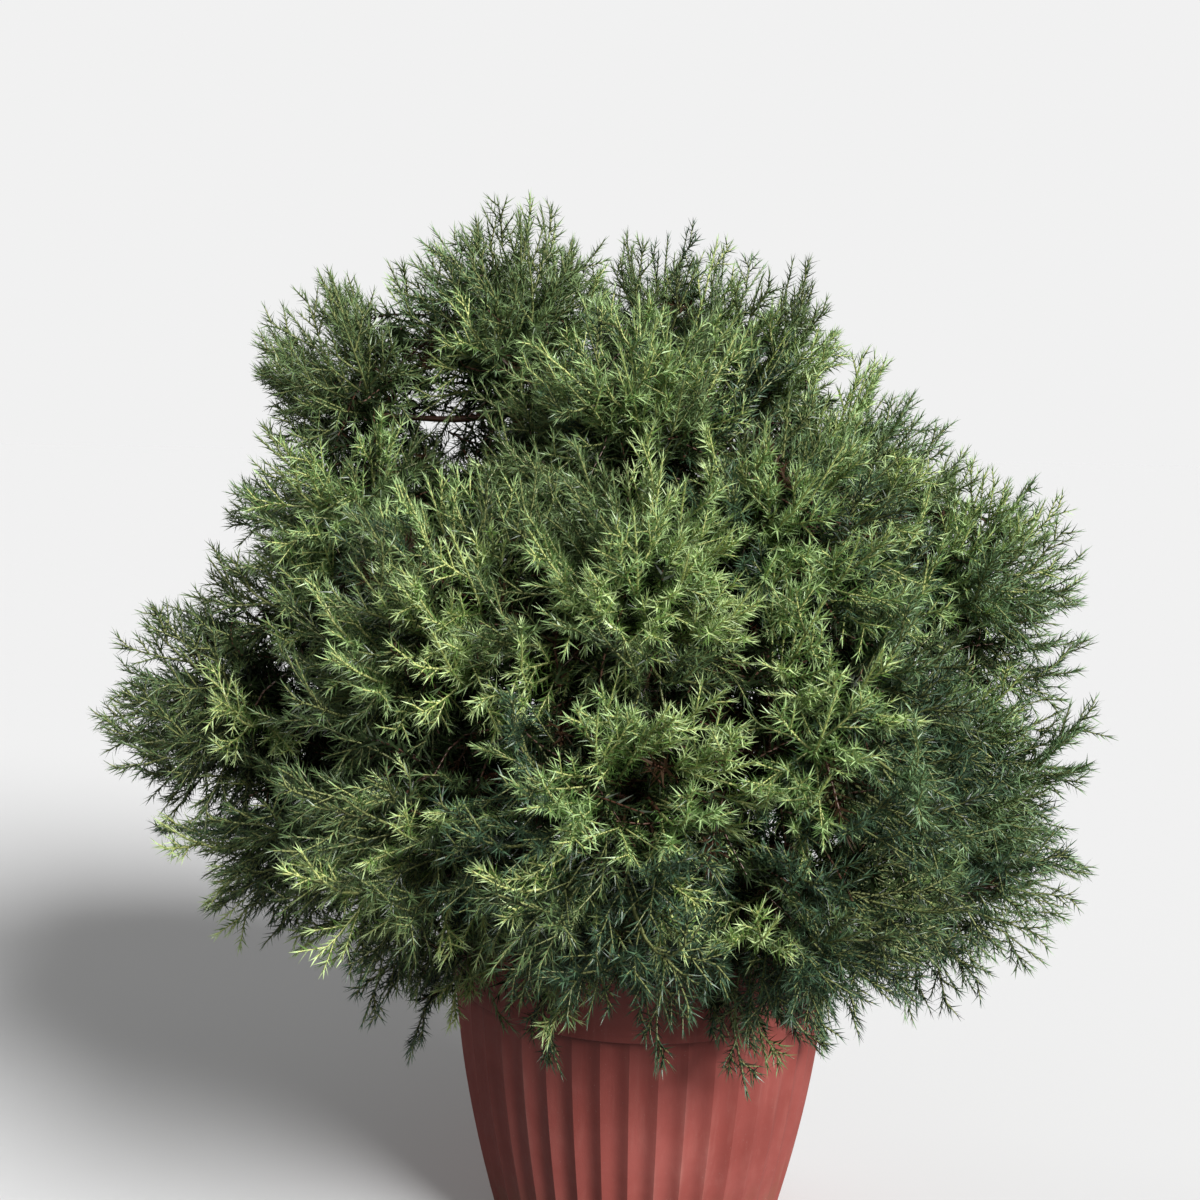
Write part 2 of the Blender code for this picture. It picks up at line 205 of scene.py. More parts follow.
def bowl_radius(height):
    """The crests of the flutes: the bowl bellies out from the foot to the rim band."""
    share = min(max((height - FOOT_HEIGHT) / (BAND_BOTTOM - FOOT_HEIGHT), 0.0), 1.0)
    return BOWL_FOOT_RADIUS + (BOWL_TOP_RADIUS - BOWL_FOOT_RADIUS) * (1.0 - (1.0 - share) ** BOWL_BELLY)


def inner_radius(height):
    return bowl_radius(height) - FLUTE_DEPTH - WALL


def arc(middle, radius, start, end, steps=4):
    """Points on an arc, its angles in degrees from the outward side."""
    turns = np.radians(np.linspace(start, end, steps + 1))
    return [(middle[0] + radius * math.cos(a), middle[1] + radius * math.sin(a)) for a in turns]


def pot_section():
    """The wall's outline, out over the underside, up the outside and down the inside."""
    edge = 0.0015
    roll = 0.004
    band_top = POT_HEIGHT - LIP_HEIGHT
    bowl = [(bowl_radius(h), h) for h in np.linspace(FOOT_HEIGHT, BAND_BOTTOM - edge, 28)]
    below = [(0.0, 0.0), (0.5 * FOOT_RADIUS, 0.0)]
    below += arc((FOOT_RADIUS - edge, edge), edge, -90, 0)
    below += arc((FOOT_RADIUS - edge, FOOT_HEIGHT - edge), edge, 0, 45, 2)
    above = arc((BAND_RADIUS - edge, BAND_BOTTOM + edge), edge, -90, 0)
    above += [(BAND_RADIUS, h) for h in np.linspace(BAND_BOTTOM + 0.01, band_top - 0.01, 5)]
    above += arc((BAND_RADIUS + edge, band_top - edge), edge, 180, 90, 3)
    above += arc((LIP_RADIUS - roll, band_top + roll), roll, -80, 0)
    above += arc((LIP_RADIUS - roll, POT_HEIGHT - roll), roll, 0, 90)
    above += arc((inner_radius(POT_HEIGHT) + roll, POT_HEIGHT - roll), roll, 90, 180)
    above += [(inner_radius(h), h) for h in np.linspace(BAND_BOTTOM, FLOOR + roll, 8)]
    above += [(inner_radius(FLOOR) - roll, FLOOR), (0.0, FLOOR)]
    fluted = [0.0] * len(below) + [1.0] * len(bowl) + [0.0] * len(above)
    points = [(x, 0.0, z) for x, z in below + bowl + above]
    return line_mesh("pot_section", np.array([points]), {"fluted": np.array(fluted)})


def pot_tree(finish):
    """Turns a section round the Z axis, and presses flutes into the stretch marked for them."""
    tree = Tree("turned_pot", ["Flutes", "Flute Depth", "Flute Bottom", "Run Out"], ["Steps Round"])
    given = tree.given
    place = tree.first("InputPosition")
    section = tree.first("MeshToCurve", {"Mesh": given["Geometry"]})
    section = tree.store(section, "section", place, "FLOAT_VECTOR")
    around = tree.first("CurvePrimitiveCircle", {"Resolution": given["Steps Round"], "Radius": 1.0})
    around = tree.store(around, "around", place, "FLOAT_VECTOR")
    wall = tree.first("CurveToMesh", {"Curve": around, "Profile Curve": section})

    out = tree.shader("SeparateXYZ", {0: tree.named("around", "FLOAT_VECTOR")}).outputs
    at = tree.shader("SeparateXYZ", {0: tree.named("section", "FLOAT_VECTOR")}).outputs
    # The turn is counted from the front, where a flute has its middle.
    turn = tree.math("ARCTAN2", out[0], tree.times(out[1], -1.0))
    half_wave = tree.math("COSINE", tree.times(turn, tree.times(given["Flutes"], 0.5)))
    hollow = tree.math("POWER", tree.math("ABSOLUTE", half_wave), FLUTE_POWER)
    low = tree.math("DIVIDE", tree.math("SUBTRACT", at[2], given["Flute Bottom"]), given["Run Out"])
    within = tree.times(tree.math("MINIMUM", low, 1.0), tree.named("fluted", "FLOAT"))
    press = tree.times(tree.times(hollow, within), given["Flute Depth"])
    radius = tree.math("SUBTRACT", at[0], press)
    joined = {0: tree.times(out[0], radius), 1: tree.times(out[1], radius), 2: at[2]}
    joined = tree.shader("CombineXYZ", joined).outputs[0]
    wall = tree.first("SetPosition", {"Geometry": wall, "Position": joined})
    wall = tree.first("MergeByDistance", {"Geometry": wall, "Distance": 0.00004})
    return tree.finish(wall, [finish])


def patches_group():
    """Soft patches with broken edges: how much of a spot is covered, from 0 to 1."""
    group = bpy.data.node_groups.new("patches", "ShaderNodeTree")
    face = group.interface
    face.new_socket("Vector", in_out="INPUT", socket_type="NodeSocketVector")
    for label in ("Scale", "Detail", "From", "To"):
        face.new_socket(label, in_out="INPUT", socket_type="NodeSocketFloat")
    face.new_socket("Cover", in_out="OUTPUT", socket_type="NodeSocketFloat")
    given = group.nodes.new("NodeGroupInput").outputs
    field = add_node(group, "ShaderNodeTexNoise", {
        "Vector": given["Vector"], "Scale": given["Scale"], "Detail": given["Detail"], "Roughness": 0.6,
    })
    cover = add_node(group, "ShaderNodeMapRange", {
        "Value": field.outputs[0], "From Min": given["From"], "From Max": given["To"],
    }, interpolation_type="SMOOTHSTEP")
    add_node(group, "NodeGroupOutput", {0: cover.outputs[0]})
    return group


PATCHES = patches_group()


class Finish(Nodes):
    """A procedural material in the making: its node tree, and short ways to add to it."""

    def __init__(self, name, **plain):
        self.material = bpy.data.materials.new(name)
        self.material.use_nodes = True
        self.group = self.material.node_tree
        self.inputs = self.group.nodes["Principled BSDF"].inputs
        for label, value in plain.items():
            self.inputs[label.replace("_", " ")].default_value = value
        self.object_at = self.shader("TexCoord").outputs["Object"]

    def set(self, label, value):
        self.group.links.new(value, self.inputs[label])

    def stretched(self, scale):
        return self.shader("Mapping", {"Vector": self.object_at, "Scale": scale}).outputs[0]

    def grains(self, scale, detail, vector=None):
        inputs = {"Vector": vector or self.object_at, "Scale": scale, "Detail": detail}
        return self.shader("TexNoise", inputs).outputs[0]

    def patches(self, scale, low, high, vector=None, detail=4.0):
        made = self.shader("Group", node_tree=PATCHES)
        self.group.links.new(vector or self.object_at, made.inputs["Vector"])
        for label, value in (("Scale", scale), ("Detail", detail), ("From", low), ("To", high)):
            made.inputs[label].default_value = value
        return made.outputs[0]

    def mix(self, cover, under, over, amount=None):
        """The colour over laid on the colour under, as far as it covers."""
        if amount is not None:
            cover = self.times(cover, amount)
        return self.shader("Mix", {0: cover, 6: under, 7: over}, data_type="RGBA").outputs[2]

    def bump(self, height, distance, strength=1.0):
        inputs = {"Height": height, "Distance": distance, "Strength": strength}
        if self.inputs["Normal"].is_linked:
            inputs["Normal"] = self.inputs["Normal"].links[0].from_socket
        self.set("Normal", self.shader("Bump", inputs).outputs[0])


def pot_plastic():
    """Brick-red plastic, chalked and dusty with age. The pale lines down its crests are partly wear and
    partly a painted highlight, and the darker strip under the rim band is a painted shadow.
    """
    made = Finish("brick_red_plastic", Roughness=0.46, Specular_IOR_Level=0.45)
    split = made.shader("SeparateXYZ", {0: made.object_at}).outputs
    turn = made.math("ARCTAN2", split[0], made.times(split[1], -1.0))
    half_wave = made.math("ABSOLUTE", made.math("COSINE", made.times(turn, 0.5 * FLUTES)))
    crest = made.math("POWER", made.math("SUBTRACT", 1.0, half_wave), 3.0)
    on_bowl = made.math("LESS_THAN", split[2], BAND_BOTTOM)
    crest = made.times(crest, on_bowl)

    faded = made.patches(9.0, 0.35, 0.70)
    colour = made.mix(faded, srgb(141, 69, 62), srgb(154, 81, 74))
    streaks = made.patches(1.0, 0.50, 0.72, made.stretched((90.0, 90.0, 3.0)), 5.0)
    colour = made.mix(streaks, colour, srgb(172, 108, 98), 0.18)
    # Paler crests: partly worn plastic, partly a painted highlight where the crest edges catch the light.
    rubbed_and_highlight = made.times(crest, made.patches(1.0, 0.50, 0.72, made.stretched((12.0, 12.0, 5.0))))
    colour = made.mix(rubbed_and_highlight, colour, srgb(190, 134, 124), 0.40)
    low = made.shader("MapRange", {"Value": split[2], "From Min": 0.12, "From Max": 0.0}).outputs[0]
    splash = made.times(low, made.patches(30.0, 0.35, 0.60))
    colour = made.mix(splash, colour, srgb(126, 92, 70), 0.75)
    # A darker red strip just under the rim band: a painted shadow of the band's proud lower edge.
    under_band_shade = made.shader("MapRange", {
        "Value": split[2], "From Min": BAND_BOTTOM - 0.012, "From Max": BAND_BOTTOM,
    }).outputs[0]
    line = made.times(under_band_shade, on_bowl)
    colour = made.mix(line, colour, srgb(88, 40, 34), 0.65)
    specks = made.patches(420.0, 0.69, 0.77, None, 2.0)
    colour = made.mix(specks, colour, srgb(206, 170, 156), 0.30)
    made.set("Base Color", colour)

    dull = made.patches(24.0, 0.30, 0.70)
    rough = made.shader("MapRange", {"Value": dull, "To Min": 0.38, "To Max": 0.60}).outputs[0]
    made.set("Roughness", rough)
    made.bump(made.grains(900.0, 3.0), 0.0003, 0.5)
    made.bump(made.patches(14.0, 0.2, 0.8), 0.0012, 0.35)
    return made.material


pot_piece = through(pot_tree(pot_plastic()), "ribbed_pot", pot_section(), {
    "Steps Round": FLUTES * STEPS_PER_FLUTE,
    "Flutes": float(FLUTES),
    "Flute Depth": FLUTE_DEPTH,
    "Flute Bottom": FOOT_HEIGHT,
    "Run Out": 0.006,
})


def turn_outwards(piece, middle):
    """Turns a closed piece's faces the right way, by a face that must look away from its middle."""
    mesh = bmesh.new()
    mesh.from_mesh(piece.data)
    bmesh.ops.recalc_face_normals(mesh, faces=mesh.faces)
    furthest = max(mesh.faces, key=lambda f: (f.calc_center_median() - middle).length)
    if furthest.normal.dot(furthest.calc_center_median() - middle) < 0.0:
        bmesh.ops.reverse_faces(mesh, faces=mesh.faces)
    mesh.to_mesh(piece.data)
    mesh.free()


turn_outwards(pot_piece, Vector((0.0, 0.0, 0.5 * POT_HEIGHT)))
pot_piece.data.shade_smooth()
pot_piece.data.set_sharp_from_angle(angle=math.radians(38.0))
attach(pot_piece, "root")
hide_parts("pot")


# -------------------- soil
# Dark potting mix fills the pot to a few centimetres under its rim. Its top has
# settled unevenly and is littered with crumbs of peat and bark.
SOIL_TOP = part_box("soil")[1].z
SOIL_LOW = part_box("soil")[0].z
SOIL_RELIEF = 0.006
SOIL_GAP = 0.0008
CRUMB_SIZE = 0.0042


def soil_mesh():
    """A disc of rings with an uneven top, closed by its side and its flat bottom."""
    around = 96
    rings = 26
    reach = inner_radius(SOIL_TOP) - SOIL_GAP
    made = bmesh.new()
    turns = [2.0 * math.pi * k / around for k in range(around)]
    centre = made.verts.new((0.0, 0.0, SOIL_TOP))
    loops = []
    for step in range(1, rings + 1):
        radius = reach * step / rings
        loop = []
        for a in turns:
            at = Vector((radius * math.cos(a), radius * math.sin(a), 0.0))
            rise = SOIL_RELIEF * (noise.fractal(at * 30.0, 1.0, 2.0, 4) - 0.25)
            loop.append(made.verts.new((at.x, at.y, SOIL_TOP + rise)))
        loops.append(loop)
    for height in (0.5 * (SOIL_TOP + SOIL_LOW), SOIL_LOW):
        radius = inner_radius(height) - SOIL_GAP
        loops.append([made.verts.new((radius * math.cos(a), radius * math.sin(a), height)) for a in turns])
    for k in range(around):
        n = (k + 1) % around
        made.faces.new((centre, loops[0][k], loops[0][n]))
        for inner, outer in zip(loops[:-1], loops[1:]):
            made.faces.new((inner[k], outer[k], outer[n], inner[n]))
    made.faces.new(list(reversed(loops[-1])))
    mesh = bpy.data.meshes.new("soil_bed")
    made.to_mesh(mesh)
    made.free()
    mesh.shade_smooth()
    return mesh


def crumb_tree(finish):
    """Scatters small broken lumps over the faces that look up."""
    tree = Tree("crumbs", ["Density", "Size"], ["Seed"])
    given = tree.given
    up = tree.shader("SeparateXYZ", {0: tree.first("InputNormal")}).outputs[2]
    spots = tree.node("DistributePointsOnFaces", {
        "Mesh": given["Geometry"],
        "Selection": tree.math("GREATER_THAN", up, 0.6),
        "Density": given["Density"],
        "Seed": given["Seed"],
    })
    lump = tree.first("MeshIcoSphere", {"Radius": given["Size"], "Subdivisions": 1})

    def dealt(low, high):
        inputs = {0: low, 1: high, "Seed": given["Seed"]}
        return tree.function("RandomValue", inputs, data_type="FLOAT_VECTOR").outputs[0]

    size = dealt((0.25, 0.25, 0.15), (1.0, 0.7, 0.5))
    spin = dealt((-3.1, -3.1, -3.1), (3.1, 3.1, 3.1))
    crumbs = tree.first("InstanceOnPoints", {
        "Points": spots.outputs["Points"], "Instance": lump, "Rotation": spin, "Scale": size,
    })
    return tree.finish(crumbs, [finish])


def potting_mix():
    made = Finish("potting_mix", Roughness=0.95, Specular_IOR_Level=0.2)
    colour = made.mix(made.patches(60.0, 0.35, 0.65), srgb(44, 34, 27), srgb(72, 55, 42))
    colour = made.mix(made.patches(700.0, 0.62, 0.72, None, 2.0), colour, srgb(128, 104, 80), 0.6)
    made.set("Base Color", colour)
    made.bump(made.grains(260.0, 6.0), 0.002)
    return made.material


mix = potting_mix()
soil_piece = link_piece("soil_bed", soil_mesh())
soil_piece.data.materials.append(mix)
crumb_piece = through(crumb_tree(mix), "soil_crumbs", soil_piece.data.copy(), {
    "Density": 7000.0, "Size": CRUMB_SIZE, "Seed": 4,
})
for piece in (soil_piece, crumb_piece):
    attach(piece, "root")
    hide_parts("soil")


# -------------------- stem and boughs
# A short stem stands in the soil on a few surface roots, and carries the boughs.
# Its bark is red-brown and shreds lengthways in thin strips.
STEM_RADIUS = 0.032
STEM_FLARE = 0.013
STEM_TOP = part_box("stem")[1].z
ROOTS = 5
BOUGH_NODES = [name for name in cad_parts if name.startswith("bough_")]
BOUGH_BASE = 0.0125
BOUGH_TIP = 0.0060
BARK_RELIEF = 0.0026


def unit(vectors):
    return vectors / np.maximum(norm(vectors, axis=-1, keepdims=True), 1e-9)


def node_corners(name):
    """A CAD node's corners, each once, and its triangles."""
    mesh = bmesh.new()
    mesh.from_mesh(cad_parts[name].data)
    bmesh.ops.remove_doubles(mesh, verts=mesh.verts, dist=1e-6)
    bmesh.ops.triangulate(mesh, faces=mesh.faces)
    mesh.verts.ensure_lookup_table()
    corners = np.array([v.co for v in mesh.verts])
    faces = np.array([[v.index for v in f.verts] for f in mesh.faces])
    mesh.free()
    return corners, faces


def bough_path(name):
    """The middles of a bough's rings, from its seat on the stem to its end in the foliage."""
    left = list(node_corners(name)[0])
    sides = 6

    def from_stem(point):
        return math.hypot(point[0], point[1], max(0.0, point[2] - STEM_TOP))

    at = min(left, key=from_stem)
    middles = []
    while left:
        left.sort(key=lambda p: float(norm(p - at)))
        at = np.mean(left[:sides], axis=0)
        middles.append(at)
        left = left[sides:]
    return np.array(middles)


def smooth_line(points, count):
    """A smooth line through the points (Catmull-Rom), in count steps."""
    ends = np.vstack((2 * points[0] - points[1], points, 2 * points[-1] - points[-2]))
    result = []
    for place in np.linspace(0.0, len(points) - 1.0001, count):
        k = int(place)
        t = place - k
        a, b, c, d = ends[k:k + 4]
        result.append(0.5 * (2 * b + (c - a) * t + (2 * a - 5 * b + 4 * c - d) * t ** 2
                             + (3 * b - a - 3 * c + d) * t ** 3))
    return np.array(result)


def wood_tree(finishes):
    """Round wood along lines, as thick as their radius mark says, with grain along its length."""
    tree = Tree("wood_on_lines", ["Relief", "Strips", "Strip Length"], ["Sides"])
    given = tree.given
    lines = tree.first("MeshToCurve", {"Mesh": given["Geometry"]})
    length = tree.node("SplineParameter").outputs["Length"]
    lines = tree.store(lines, "distance", length, "FLOAT")
    place = tree.first("InputPosition")
    ring = tree.first("CurvePrimitiveCircle", {"Resolution": given["Sides"], "Radius": 1.0})
    ring = tree.store(ring, "ring", place, "FLOAT_VECTOR")
    wood = tree.first("CurveToMesh", {
        "Curve": lines, "Profile Curve": ring, "Scale": tree.named("radius", "FLOAT"), "Fill Caps": True,
    })
    out = tree.shader("SeparateXYZ", {0: tree.named("ring", "FLOAT_VECTOR")}).outputs
    grain = tree.shader("CombineXYZ", {
        0: tree.times(out[0], given["Strips"]),
        1: tree.times(out[1], given["Strips"]),
        2: tree.math("DIVIDE", tree.named("distance", "FLOAT"), given["Strip Length"]),
    }).outputs[0]
    wood = tree.store(wood, "grain", grain, "FLOAT_VECTOR")
    field = tree.shader("TexNoise", {"Vector": grain, "Scale": 1.0, "Detail": 3.0}).outputs[0]
    height = tree.times(tree.math("SUBTRACT", field, 0.5), given["Relief"])
    offset = tree.shader("VectorMath", {
        0: tree.first("InputNormal"), "Scale": height,
    }, operation="SCALE").outputs[0]
    wood = tree.first("SetPosition", {"Geometry": wood, "Offset": offset})
    wood = tree.first("SetShadeSmooth", {"Geometry": wood})
    return tree.finish(wood, finishes, tree.named("tone", "INT") if len(finishes) > 1 else None)


def red_brown_bark():
    made = Finish("red_brown_bark", Roughness=0.88, Specular_IOR_Level=0.25)
    grain = made.shader("Attribute", attribute_name="grain").outputs["Vector"]
    strips = made.patches(1.6, 0.30, 0.68, grain, 6.0)
    colour = made.mix(strips, srgb(58, 34, 26), srgb(122, 76, 56))
    colour = made.mix(made.patches(5.0, 0.55, 0.72, grain), colour, srgb(150, 112, 88), 0.5)
    colour = made.mix(made.patches(40.0, 0.55, 0.75), colour, srgb(92, 92, 68), 0.35)
    made.set("Base Color", colour)
    made.bump(made.grains(3.0, 8.0, grain), 0.002, 0.8)
    return made.material


def stem_lines():
    """The stem, its surface roots and the boughs, all as lines of the same number of points."""
    steps = 40
    heights = np.linspace(SOIL_TOP - 0.012, STEM_TOP, steps)
    foot = np.clip(1.0 - (heights - SOIL_TOP) / 0.06, 0.0, 1.0) ** 2
    stem = np.stack((0.0 * heights, 0.0 * heights, heights), axis=1)
    lines = [stem]
    radii = [STEM_RADIUS + STEM_FLARE * foot - 0.006 * np.linspace(0.0, 1.0, steps) ** 4]
    for number in range(ROOTS):
        turn = 2.0 * math.pi * (number + 0.3 * math.sin(3.1 * number)) / ROOTS
        way = np.array((math.cos(turn), math.sin(turn), 0.0))
        root = [0.012 * way + (0, 0, SOIL_TOP + 0.055), 0.030 * way + (0, 0, SOIL_TOP + 0.026),
                0.048 * way + (0, 0, SOIL_TOP + 0.006), 0.064 * way + (0, 0, SOIL_TOP - 0.006)]
        lines.append(smooth_line(np.array(root), steps))
        radii.append(np.linspace(0.016, 0.008, steps))
    for name in BOUGH_NODES:
        path = bough_path(name)
        path[0] -= unit(path[1] - path[0]) * 0.006
        lines.append(smooth_line(path, steps))
        share = np.linspace(0.0, 1.0, steps)
        collar = 0.006 * np.clip(1.0 - share / 0.12, 0.0, 1.0) ** 2
        radii.append(BOUGH_BASE + (BOUGH_TIP - BOUGH_BASE) * share + collar)
    return np.array(lines), np.array(radii)


wood_lines, wood_radii = stem_lines()
wood_piece = through(wood_tree([red_brown_bark()]), "stem_and_boughs",
                     line_mesh("stem_lines", wood_lines, {"radius": wood_radii}), {
    "Sides": 18, "Relief": BARK_RELIEF, "Strips": 5.0, "Strip Length": 0.05,
}, keep=("grain",))
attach(wood_piece, "root")
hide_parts("stem", *BOUGH_NODES)


# -------------------- foliage
# Limbs run on from the ends of the boughs and break into flat, feathery sprays.
# Each spray is a leader with side shoots to left and right, set all round with
# short awl-shaped needles in whorls of three, and crowded into tufts at the tips.
HEART = np.array((-0.02, -0.02, 0.66))
SPRAY_SPACING = 0.060
SPRAY_REACH = 0.23
SHOOTS = 8
SHOOT_LENGTH = (0.115, 0.165)
SHOOT_POINTS = 4
SHOOT_ANGLE = math.radians(40.0)
TWIGS = 4
TWIG_LENGTH = (0.034, 0.056)
LIMB_RADII = (0.0058, 0.0034)
LEADER_RADII = (0.0034, 0.0010)
SHOOT_RADII = (0.0016, 0.0008)
TWIG_RADII = (0.0011, 0.0007)
INNER_TWIG_RADII = (0.0014, 0.0010)
NEEDLE_SPACING = 0.0045
NEEDLE_LENGTH = 0.0145
NEEDLE_WIDTH = 0.0019
CREVICE = 0.034
SPOTS_TRIED = 26000
LIP_MARGIN = 0.012
OVER_RIM = POT_HEIGHT + 0.02
INNER_TWIGS = 3000
INNER_TWIG_LENGTH = 0.085
INNER_DEPTH = 0.055
SKY_GAP = np.array((-0.265, 0.975))
SKY_GAP_HALF = np.array((0.030, 0.060))

chance = np.random.default_rng(11)
MASS_NODES = [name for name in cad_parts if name.startswith(("foliage_", "fringe_"))]
is_fringe = np.array([name.startswith("fringe_") for name in MASS_NODES])


def bounded(value, low, high):
    """How far value is from low to high, as a smooth share from 0 to 1."""
    share = np.clip((value - low) / (high - low), 0.0, 1.0)
    return share * share * (3.0 - 2.0 * share)


def mass_skins():
    """Every triangle of the foliage masses, with the number of the mass it belongs to."""
    triangles = []
    owners = []
    for number, name in enumerate(MASS_NODES):
        corners, faces = node_corners(name)
        triangles.append(corners[faces])
        owners.append(np.full(len(faces), number))
    return np.concatenate(triangles), np.concatenate(owners)


triangles, owners = mass_skins()
crosses = np.cross(triangles[:, 1] - triangles[:, 0], triangles[:, 2] - triangles[:, 0])
areas = 0.5 * norm(crosses, axis=1)
face_normals = unit(crosses)
mass_middles = np.array([
    np.average(triangles[owners == m].mean(axis=1), axis=0, weights=areas[owners == m])
    for m in range(len(MASS_NODES))
])
skin_tree = BVHTree.FromPolygons(
    [Vector(c) for c in triangles.reshape(-1, 3)],
    [(3 * k, 3 * k + 1, 3 * k + 2) for k in range(len(triangles))],
)


def open_spots(count):
    """Spots spread over the outside of the crown, out of the crevices between its masses."""
    picked = chance.choice(len(triangles), size=count, p=areas / areas.sum())
    u = np.sqrt(chance.random(count))[:, None]
    v = chance.random(count)[:, None]
    a, b, c = triangles[picked].transpose(1, 0, 2)
    spots = (1.0 - u) * a + u * (1.0 - v) * b + u * v * c
    normals = face_normals[picked]
    probe = 0.006
    free = np.zeros(count, dtype=bool)
    for k in range(count):
        near = skin_tree.find_nearest_range(Vector(spots[k] + probe * normals[k]), CREVICE)
        free[k] = all(owners[index] == owners[picked[k]] for _, _, index, _ in near)
    outwards = unit(spots - HEART)
    free &= (normals * outwards).sum(axis=1) > -0.15
    from_axis = np.hypot(spots[:, 0], spots[:, 1])
    over_pot = (from_axis < LIP_RADIUS + LIP_MARGIN) & (spots[:, 2] < POT_HEIGHT + LIP_MARGIN)
    free &= ~over_pot
    beside = (normals[:, :2] * spots[:, :2]).sum(axis=1) < -0.3 * from_axis
    free &= ~(beside & (spots[:, 2] < OVER_RIM))
    return spots[free], normals[free], owners[picked[free]]


def fringe_tips():
    """The lowest corner of each fringe, where its longest spray ends."""
    numbers = np.flatnonzero(is_fringe)
    corners = [triangles[owners == number].reshape(-1, 3) for number in numbers]
    lowest = np.array([own[np.argmin(own[:, 2])] for own in corners])
    return lowest, unit(lowest * (1.0, 1.0, 0.0)), numbers


def depth_inside(points):
    """How far each point lies under the outermost foliage, seen from the heart of the crown."""
    ways = unit(points - HEART)
    depths = np.full(len(points), -1.0)
    for k, (point, way) in enumerate(zip(points, ways)):
        outermost = skin_tree.ray_cast(Vector(point + 1.5 * way), Vector(-way), 1.5)[0]
        if outermost is not None:
            depths[k] = (Vector(point) - outermost).length
    return depths


def inner_twigs(count):
    """The two ends of dry twigs, spread all through the crown but under its outside."""
    low = triangles.min(axis=(0, 1))
    high = triangles.max(axis=(0, 1))
    starts = low + (high - low) * chance.random((6 * count, 3))
    starts = starts[depth_inside(starts) > INNER_DEPTH]
    ways = unit(chance.normal(size=starts.shape) + 0.5 * unit(starts - HEART))
    ends = starts + INNER_TWIG_LENGTH * ways
    from_axis = np.hypot(ends[:, 0], ends[:, 1])
    over_pot = (ends[:, 2] < OVER_RIM) | (starts[:, 2] < OVER_RIM)
    good = (depth_inside(ends) > INNER_DEPTH) & ~(over_pot & (from_axis < LIP_RADIUS + 0.05))
    middles = 0.5 * (starts + ends)
    good &= (np.abs(middles[:, [0, 2]] - SKY_GAP) > SKY_GAP_HALF).any(axis=1)
    return starts[good][:count], ends[good][:count]


def spread_out(spots, spacing):
    """Keeps the spots that are at least their spacing from those kept before."""
    kept = []
    for k in range(len(spots)):
        if not kept or np.min(norm(spots[kept] - spots[k], axis=1)) > spacing[k]:
            kept.append(k)
    return np.array(kept)


def lean(spots, normals, masses):
    """The way a spray grows at each spot: out from the crown, up above and down at the rim."""
    radial = unit(spots - mass_middles[masses])
    level = unit((spots - HEART) * (1.0, 1.0, 0.0))
    sideways = level - (level * normals).sum(axis=1, keepdims=True) * normals
    height = spots[:, 2]
    rise = -0.80 + 1.60 * bounded(height, 0.40, 0.60) + 0.25 * bounded(height, 0.80, 1.00)
    upright = rise[:, None] * (0.0, 0.0, 1.0)
    wander = chance.normal(size=spots.shape) * 0.20
    return unit(0.30 * radial + 0.22 * normals + 0.70 * sideways + upright + wander)


def bezier(start, bend, bend_2, end, t):
    """Points and directions on cubic curves; t is (curves, steps)."""
    t = t[..., None]
    s = 1.0 - t
    start, bend, bend_2, end = (p[:, None] for p in (start, bend, bend_2, end))
    at = s ** 3 * start + 3 * s * s * t * bend + 3 * s * t * t * bend_2 + t ** 3 * end
    along = s * s * (bend - start) + 2 * s * t * (bend_2 - bend) + t * t * (end - bend_2)
    return at, unit(along)


def off_the_pot(points):
    """Moves points that would be in the pot's rim or wall out to just clear of it."""
    from_axis = norm(points[..., :2], axis=-1)
    clear = LIP_RADIUS + 0.010
    inside = (points[..., 2] < POT_HEIGHT + 0.008) & (from_axis < clear) & (from_axis > 0.5 * clear)
    moved = points.copy()
    scale = np.where(inside, clear / np.maximum(from_axis, 1e-6), 1.0)
    moved[..., :2] *= scale[..., None]
    return moved


def branch_off(at, along, plane, side, angle, length, droop):
    """Side shoots: curves that leave at an angle in the spray's plane and bend forward."""
    across = unit(np.cross(plane, along)) * side[:, None]
    wander = chance.normal(size=at.shape) * 0.10
    leave = unit(np.cos(angle)[:, None] * along + np.sin(angle)[:, None] * across + wander)
    later = unit(leave + 0.55 * along + droop)
    length = length[:, None]
    bend = at + 0.33 * length * leave
    end = at + length * unit(leave + later)
    bend_2 = end - 0.33 * length * later
    return at, bend, bend_2, end


def in_turn(count):
    """Right and left by turns, as 1 and -1."""
    return np.where(np.arange(count) % 2 == 0, 1.0, -1.0)[None]


